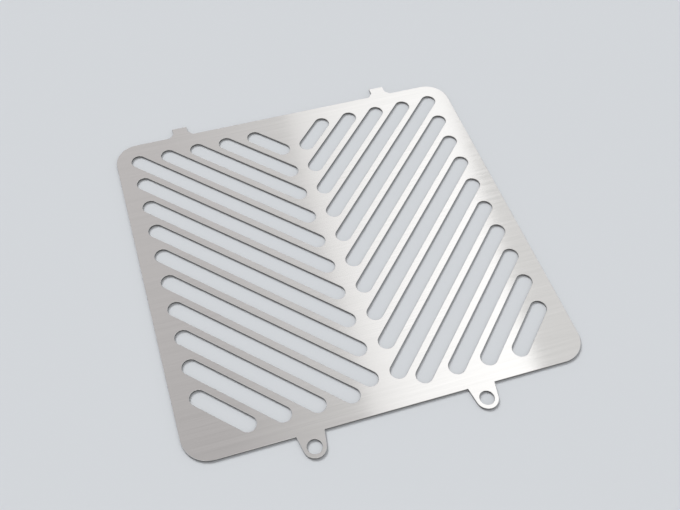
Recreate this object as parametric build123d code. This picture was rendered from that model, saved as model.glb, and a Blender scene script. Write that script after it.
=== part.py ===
from build123d import *
import math
import os

# Radiator guard for a motorcycle: one flat sheet of stainless steel, cut to its outline and deburred.
# Millimetres. X runs along the lower edge, Y towards the upper edge and +Z out of the front face.
# The origin lies on the back face, midway between the two bolt holes.

# The sheet
sheet_thickness = 1.5
edge_break = 0.15  # bevel that deburring leaves along the edges of both faces

# The plate, without its ears and tongues
plate_width = 238.5
plate_height = 232.5
corner_radius = 15.5

# The slots, in two mirrored fields that leave a spine of whole sheet between them
slot_width = 10.0
bar_width = 4.15  # sheet left between neighbouring slots
slot_slope = 45.0  # degrees to the lower edge, rising from the spine to the sides
edge_margin = 10.0  # sheet left between the slots' ends and the plate's edges
spine_width = 7.3  # sheet left between the ends of the left and the right slots

# The ears below the lower edge, which carry the bolt holes
bolt_spacing = 101.0
bolt_hole_diameter = 8.5
bolt_drop = 8.0  # from the lower edge down to the bolt holes' centres
ear_wall = 2.4  # sheet left around a bolt hole at the ear's round end
ear_root_width = 16.3

# The tongues above the upper edge
tongue_spacing = 144.5
tongue_width = 10.1
tongue_length = 7.65
tongue_gusset = 3.05  # height and width of the slanted corners at a tongue's root

# Heights of the plate's edges above the line of the bolt holes
lower_edge = bolt_drop
upper_edge = lower_edge + plate_height


def mirrored(points):
    """The same points on the other side of the Y axis, in reverse order."""
    return [(-x, y) for x, y in reversed(points)]


def plate():
    """The rounded plate that everything else joins or cuts."""
    centre = Pos(0, (lower_edge + upper_edge) / 2)
    return centre * RectangleRounded(plate_width, plate_height, corner_radius)


def ear():
    """One ear about its bolt hole, with straight sides that run smoothly into its round end."""
    end_radius = bolt_hole_diameter / 2 + ear_wall
    root = (ear_root_width / 2, bolt_drop)
    inside_plate = (ear_root_width / 2, bolt_drop + edge_margin)
    touch_angle = math.atan2(root[1], root[0]) - math.acos(end_radius / math.hypot(*root))
    touch = (end_radius * math.cos(touch_angle), end_radius * math.sin(touch_angle))
    right_side = [inside_plate, root, touch]
    left_side = mirrored(right_side)
    round_end = ThreePointArc(touch, (0, -end_radius), left_side[0])
    sides = Polyline(*left_side, *right_side)
    return make_face([sides.edges(), round_end.edges()])


def tongue():
    """One tongue about the middle of its root on the upper edge."""
    half_width = tongue_width / 2
    half_root = half_width + tongue_gusset
    right_side = [
        (half_root, -edge_margin),
        (half_root, 0),
        (half_width, tongue_gusset),
        (half_width, tongue_length),
    ]
    return make_face(Polyline(*right_side, *mirrored(right_side), close=True))


def slot_ends():
    """End centres of the right-hand slots, from the top one to the bottom one.

    One slot's line runs through the upper outer corner of the field, and the others are spaced from it.
    """
    end_inset = edge_margin + slot_width / 2
    inner = (spine_width + slot_width) / 2
    outer = plate_width / 2 - end_inset
    bottom = lower_edge + end_inset
    top = upper_edge - end_inset
    slope = math.tan(math.radians(slot_slope))
    step = (slot_width + bar_width) / math.cos(math.radians(slot_slope))
    slots_above_corner = math.floor((outer - inner) * slope / step)
    slots_below_corner = math.floor((top - bottom) / step)
    ends = []
    for number in range(-slots_above_corner, slots_below_corner + 1):
        height_at_side = top - number * step
        start_x = max(inner, outer - (height_at_side - bottom) / slope)
        stop_x = min(outer, outer - (height_at_side - top) / slope)
        start = Vector(start_x, height_at_side - (outer - start_x) * slope)
        stop = Vector(stop_x, height_at_side - (outer - stop_x) * slope)
        longer_than_wide = stop_x > start_x and (stop - start).length > slot_width
        if longer_than_wide:
            ends.append((start, stop))
    return ends


def slot_field():
    """The slots to the right of the spine."""
    slots = Sketch()
    for start, stop in slot_ends():
        place = Pos((start + stop) / 2) * Rot(0, 0, slot_slope)
        slots += place * SlotCenterToCenter((stop - start).length, slot_width)
    return slots


def sheet_outline():
    """The cut sheet seen from the front."""
    outline = plate()
    for side in (-1, 1):
        outline += Pos(side * bolt_spacing / 2, 0) * ear()
        outline += Pos(side * tongue_spacing / 2, upper_edge) * tongue()
    for side in (-1, 1):
        outline -= Pos(side * bolt_spacing / 2, 0) * Circle(bolt_hole_diameter / 2)
    right_slots = slot_field()
    outline -= right_slots
    outline -= mirror(right_slots, about=Plane.YZ)
    return outline


def guard_plate():
    """The whole guard, with the edges of its front and back broken."""
    sheet = extrude(sheet_outline(), amount=sheet_thickness)
    face_edges = sheet.faces().filter_by(Axis.Z).edges()
    return chamfer(face_edges, edge_break)


os.makedirs("parts", exist_ok=True)
export_step(guard_plate(), "parts/guard_plate.step")
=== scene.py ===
"""Looks of the motorcycle radiator guard: a brushed stainless sheet that lies on a pale studio floor."""
import math

import bpy
from mathutils import Matrix, Vector


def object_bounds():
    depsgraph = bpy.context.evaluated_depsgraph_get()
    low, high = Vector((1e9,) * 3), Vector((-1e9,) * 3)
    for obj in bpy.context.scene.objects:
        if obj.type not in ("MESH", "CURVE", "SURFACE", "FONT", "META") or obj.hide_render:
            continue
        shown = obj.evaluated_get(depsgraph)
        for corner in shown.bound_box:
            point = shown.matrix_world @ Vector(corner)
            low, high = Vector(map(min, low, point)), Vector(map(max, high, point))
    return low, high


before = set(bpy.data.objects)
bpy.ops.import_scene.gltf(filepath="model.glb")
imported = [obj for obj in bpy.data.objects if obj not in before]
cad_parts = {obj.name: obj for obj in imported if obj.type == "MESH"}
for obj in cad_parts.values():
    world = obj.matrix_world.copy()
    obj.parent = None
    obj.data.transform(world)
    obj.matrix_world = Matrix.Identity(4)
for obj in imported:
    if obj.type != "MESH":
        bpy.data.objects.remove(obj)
cad_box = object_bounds()

MM = 0.001
SHEET = "guard_plate"
MIDDLE = (cad_box[0] + cad_box[1]) / 2

# Camera: the photograph's viewing angle in degrees, the point it looks at and its distance from there
VIEW_AZIMUTH = -18.73
VIEW_ELEVATION = 55.22
VIEW_ROLL = 2.1
VIEW_AIM = MIDDLE + Vector((-16.0, -0.26, 0.75)) * MM
VIEW_DISTANCE = 522.2 * MM
SENSOR_WIDTH = 36.0  # millimetres, as the lens
LENS = 44.38
SHIFT_X = 0.0432

# Brushed faces: size along X, Y and Z of the largest streaks of each kind
HAIRLINE = (60 * MM, 0.5 * MM, 0.5 * MM)
HAIRLINE_DEPTH = 0.0036 * MM
STROKE = (160 * MM, 2.4 * MM, 2.4 * MM)
STROKE_SWAY = 0.045  # sideways slope of the strokes, at most
FACE_ROUGHNESS = (0.10, 0.16)
STEEL_DARK = (0.66, 0.656, 0.651)
STEEL_LIGHT = (0.734, 0.728, 0.723)

# Deburred edges and cut walls, told from the faces by how much of their normal points along Z
FACE_FLATNESS = 0.9  # faces have more, edges less
EDGE_FLATNESS = 0.4  # edges have more, walls less
EDGE_ROUGHNESS = 0.2  # added to that of the faces
CUT_MARK = (0.4 * MM, 0.4 * MM, 8 * MM)  # size along X, Y and Z of the marks that cutting left on the walls
CUT_DARK = (0.22, 0.21, 0.20)
CUT_LIGHT = (0.40, 0.39, 0.38)

NOISE_DETAIL = 3.0
NOISE_RANGE = (0.3, 0.7)  # noise seldom leaves it

# Floor
FLOOR_SIZE = 60.0  # metres
FLOOR_COLOUR = (0.645, 0.672, 0.70)

# Light from all round, by the X, Y and Z of the direction that it comes from
LEFT_BACK_LIGHT = (0.76, 0.736, 0.732)
LEFT_TOP_LIGHT = (0.58, 0.56, 0.558)
LEFT_RAMP = (0.8, 0.25)  # Y, from the left light behind to the one overhead
RIGHT_LIGHT = (0.925, 0.92, 0.91)
RIGHT_RAMP = (0.045, 0.26)  # X, from the left light to the right light
# Less of it from the sides, the front and low down, so that the metal stands out from the pale floor
SIDE_RAMP = (0.46, 0.8)  # X, either way, from all of the light to SIDE_SHARE of it
SIDE_SHARE = 0.45
FRONT_RAMP = (0.4, -0.2)  # Y, from all of the light to FRONT_SHARE of it
FRONT_SHARE = 0.7
LOW_RAMP = (0.58, 0.3)  # Z, from all of the light to LOW_SHARE of it
LOW_SHARE = 0.5
HORIZON_RAMP = (0.2, 0.45)  # Z, from the floor's colour to the light above

# Strip lamps, which the brushed faces mirror: azimuth, elevation and brightness, where 1 is white
STRIPS = {
    "back_right_strip": (138.4, 61.1, 0.85),  # the highlight in the photograph
    "back_left_strip": (228.0, 50.0, 1.0),
    "front_right_strip": (47.0, 40.0, 0.75),
    "front_strip": (0.0, 40.0, 1.15),
    "front_left_strip": (-47.0, 40.0, 1.1),
    "right_strip": (90.0, 26.0, 0.9),
    "left_strip": (270.0, 26.0, 0.9),
}
LAMP_DISTANCE = 1.9  # metres, as the strips' width and length
STRIP_WIDTH = 0.492
STRIP_LENGTH = 2.9
STRIP_FADE = 0.33  # power by which the brightness falls towards the -X edge
STRIP_END_SHARE = 0.42  # of the brightness, left at the +Y end

# Key lamp, which throws the shadow on the floor: azimuth, elevation and apparent width in degrees
KEY_SIDE = (200.0, 45.0)
KEY_ANGLE = 25.0
KEY_STRENGTH = 2.0  # with the light from all round, it renders the floor in the floor's own colour


def from_side(azimuth, elevation):
    """Unit vector from the object towards a side; azimuth 0 is in front, at -Y, and 90 is at +X."""
    turn = math.radians(azimuth)
    rise = math.radians(elevation)
    return Vector((math.sin(turn) * math.cos(rise), -math.cos(turn) * math.cos(rise), math.sin(rise)))


def make_camera():
    """The camera, placed as the photograph's was."""
    data = bpy.data.cameras.new("camera")
    data.sensor_width = SENSOR_WIDTH
    data.lens = LENS
    data.shift_x = SHIFT_X
    back = from_side(VIEW_AZIMUTH, VIEW_ELEVATION)
    level = (-back).to_track_quat("-Z", "Y").to_matrix()
    roll = Matrix.Rotation(math.radians(VIEW_ROLL), 3, "Z")
    camera = bpy.data.objects.new("camera", data)
    camera.matrix_world = Matrix.Translation(VIEW_AIM + back * VIEW_DISTANCE) @ (level @ roll).to_4x4()
    bpy.context.scene.collection.objects.link(camera)
    bpy.context.scene.camera = camera


class Nodes:
    """Short ways to add nodes to one node tree."""

    def __init__(self, tree):
        self.tree = tree

    def add(self, kind, inputs, **settings):
        """A new node; an input is a socket that drives it, or a value that it keeps."""
        made = self.tree.nodes.new(kind)
        for name, value in settings.items():
            setattr(made, name, value)
        for name, value in inputs.items():
            self.feed(made.inputs[name], value)
        return made

    def feed(self, socket, value):
        if isinstance(value, bpy.types.NodeSocket):
            self.tree.links.new(value, socket)
        else:
            socket.default_value = value

    def split(self, vector):
        """The X, Y and Z sockets of a vector."""
        return self.add("ShaderNodeSeparateXYZ", {"Vector": vector}).outputs

    def math(self, operation, *values):
        return self.add("ShaderNodeMath", dict(enumerate(values)), operation=operation).outputs["Value"]

    def mean(self, first, second):
        return self.math("DIVIDE", self.math("ADD", first, second), 2.0)

    def spread(self, value, start, stop, low=0.0, high=1.0):
        """value, mapped from start..stop to low..high and held at the ends."""
        inputs = {"Value": value, "From Min": start, "From Max": stop, "To Min": low, "To Max": high}
        return self.add("ShaderNodeMapRange", inputs).outputs["Result"]

    def blend(self, factor, first, second):
        """first where factor is 0 and second where it is 1; each is a socket or a plain colour."""
        mixed = self.add("ShaderNodeMix", {"Factor": factor}, data_type="RGBA")
        for name, colour in (("A_Color", first), ("B_Color", second)):
            socket = next(s for s in mixed.inputs if s.identifier == name)
            self.feed(socket, colour if isinstance(colour, bpy.types.NodeSocket) else (*colour, 1.0))
        return next(s for s in mixed.outputs if s.identifier == "Result_Color")

    def scale(self, vector, factor):
        inputs = {"Vector": vector, "Scale": factor}
        return self.add("ShaderNodeVectorMath", inputs, operation="SCALE").outputs["Vector"]

    def noise(self, place, cell):
        """Noise from 0 to 1 whose largest cells measure about this much along X, Y and Z."""
        scaled = self.add("ShaderNodeMapping", {"Vector": place, "Scale": [1 / side for side in cell]})
        inputs = {"Vector": scaled.outputs["Vector"], "Scale": 1.0, "Detail": NOISE_DETAIL}
        return self.spread(self.add("ShaderNodeTexNoise", inputs).outputs["Fac"], *NOISE_RANGE)


def brushed_steel():
    """Stainless sheet with faces brushed along X, deburred edges and cut walls."""
    material = bpy.data.materials.new("brushed_stainless")
    material.use_nodes = True
    shader = material.node_tree.nodes["Principled BSDF"].inputs
    nodes = Nodes(material.node_tree)
    coordinates = nodes.add("ShaderNodeTexCoord", {}).outputs
    place = coordinates["Object"]
    flatness = nodes.math("ABSOLUTE", nodes.split(coordinates["Normal"])["Z"])
    off_face = nodes.math("LESS_THAN", flatness, FACE_FLATNESS)
    wall = nodes.math("LESS_THAN", flatness, EDGE_FLATNESS)

    hairlines = nodes.noise(place, HAIRLINE)
    strokes = nodes.noise(place, STROKE)
    cut_marks = nodes.noise(place, CUT_MARK)

    grain = nodes.mean(hairlines, strokes)
    face_colour = nodes.blend(grain, STEEL_DARK, STEEL_LIGHT)
    wall_colour = nodes.blend(cut_marks, CUT_DARK, CUT_LIGHT)
    nodes.feed(shader["Base Color"], nodes.blend(wall, face_colour, wall_colour))

    face_roughness = nodes.spread(strokes, 0.0, 1.0, *FACE_ROUGHNESS)
    nodes.feed(shader["Roughness"], nodes.math("MULTIPLY_ADD", off_face, EDGE_ROUGHNESS, face_roughness))

    sway = nodes.spread(strokes, 0.0, 1.0, -STROKE_SWAY, STROKE_SWAY)
    across_grain = nodes.add("ShaderNodeCombineXYZ", {"X": sway, "Y": 1.0}).outputs["Vector"]
    nodes.feed(shader["Tangent"], across_grain)
    bump = nodes.add("ShaderNodeBump", {"Height": hairlines, "Distance": HAIRLINE_DEPTH})
    nodes.feed(shader["Normal"], bump.outputs["Normal"])

    shader["Metallic"].default_value = 1.0
    shader["Anisotropic"].default_value = 1.0
    return material


def pale_floor():
    """Matt paint in one pale colour."""
    material = bpy.data.materials.new("pale_floor")
    material.use_nodes = True
    shader = material.node_tree.nodes["Principled BSDF"].inputs
    shader["Base Color"].default_value = (*FLOOR_COLOUR, 1.0)
    shader["Roughness"].default_value = 1.0
    shader["Specular IOR Level"].default_value = 0.0
    return material


def make_floor():
    """The floor that the guard lies on."""
    bpy.ops.mesh.primitive_plane_add(size=FLOOR_SIZE, location=(MIDDLE.x, MIDDLE.y, cad_box[0].z))
    floor = bpy.context.object
    floor.name = "floor"
    floor.data.materials.append(pale_floor())


def make_world():
    """Soft light from above, brightest behind to the right, and the floor's colour from the horizon down."""
    world = bpy.data.worlds.new("studio")
    bpy.context.scene.world = world
    world.use_nodes = True
    nodes = Nodes(world.node_tree)
    towards = nodes.split(nodes.add("ShaderNodeTexCoord", {}).outputs["Generated"])
    left_light = nodes.blend(nodes.spread(towards["Y"], *LEFT_RAMP), LEFT_BACK_LIGHT, LEFT_TOP_LIGHT)
    light = nodes.blend(nodes.spread(towards["X"], *RIGHT_RAMP), left_light, RIGHT_LIGHT)
    side_share = nodes.spread(nodes.math("ABSOLUTE", towards["X"]), *SIDE_RAMP, 1.0, SIDE_SHARE)
    front_share = nodes.spread(towards["Y"], *FRONT_RAMP, 1.0, FRONT_SHARE)
    low_share = nodes.spread(towards["Z"], *LOW_RAMP, 1.0, LOW_SHARE)
    least_share = nodes.math("MINIMUM", side_share, nodes.math("MINIMUM", front_share, low_share))
    above = nodes.scale(light, least_share)
    colour = nodes.blend(nodes.spread(towards["Z"], *HORIZON_RAMP), FLOOR_COLOUR, above)
    nodes.feed(world.node_tree.nodes["Background"].inputs["Color"], colour)


def add_lamp(data, side):
    """Hang a lamp so that it shines from this side, with its length square to X."""
    lamp = bpy.data.objects.new(data.name, data)
    along = Vector((0, -side.z, side.y)).normalized()
    turned = Matrix((along.cross(side), along, side)).transposed()
    lamp.matrix_world = Matrix.Translation(MIDDLE + side * LAMP_DISTANCE) @ turned.to_4x4()
    lamp.visible_camera = False
    bpy.context.scene.collection.objects.link(lamp)
    return lamp


def add_strip(name, side, brightness):
    """A strip lamp for the metal alone; a mirror shows its brightest corner at this brightness."""
    data = bpy.data.lights.new(name, "AREA")
    data.shape = "RECTANGLE"
    data.size = STRIP_WIDTH
    data.size_y = STRIP_LENGTH
    data.energy = math.pi * STRIP_WIDTH * STRIP_LENGTH * brightness
    data.use_nodes = True
    nodes = Nodes(data.node_tree)
    # From 0 to 1, X runs to the -X edge and Y to the -Y end
    place = nodes.split(nodes.add("ShaderNodeNewGeometry", {}).outputs["Parametric"])
    across = nodes.math("POWER", nodes.math("SUBTRACT", 1.0, place["X"]), STRIP_FADE)
    along = nodes.spread(place["Y"], 0.0, 1.0, STRIP_END_SHARE, 1.0)
    nodes.feed(data.node_tree.nodes["Emission"].inputs["Strength"], nodes.math("MULTIPLY", across, along))
    lamp = add_lamp(data, side)
    lamp.visible_diffuse = False


def add_key():
    """A distant soft lamp for the floor alone."""
    data = bpy.data.lights.new("key", "SUN")
    data.energy = KEY_STRENGTH
    data.angle = math.radians(KEY_ANGLE)
    lamp = add_lamp(data, from_side(*KEY_SIDE))
    lamp.visible_glossy = False


make_camera()
steel = brushed_steel()
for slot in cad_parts[SHEET].material_slots:
    slot.material = steel
make_floor()
make_world()
for name, (azimuth, elevation, brightness) in STRIPS.items():
    add_strip(name, from_side(azimuth, elevation), brightness)
add_key()
bpy.context.scene.view_settings.view_transform = "Standard"
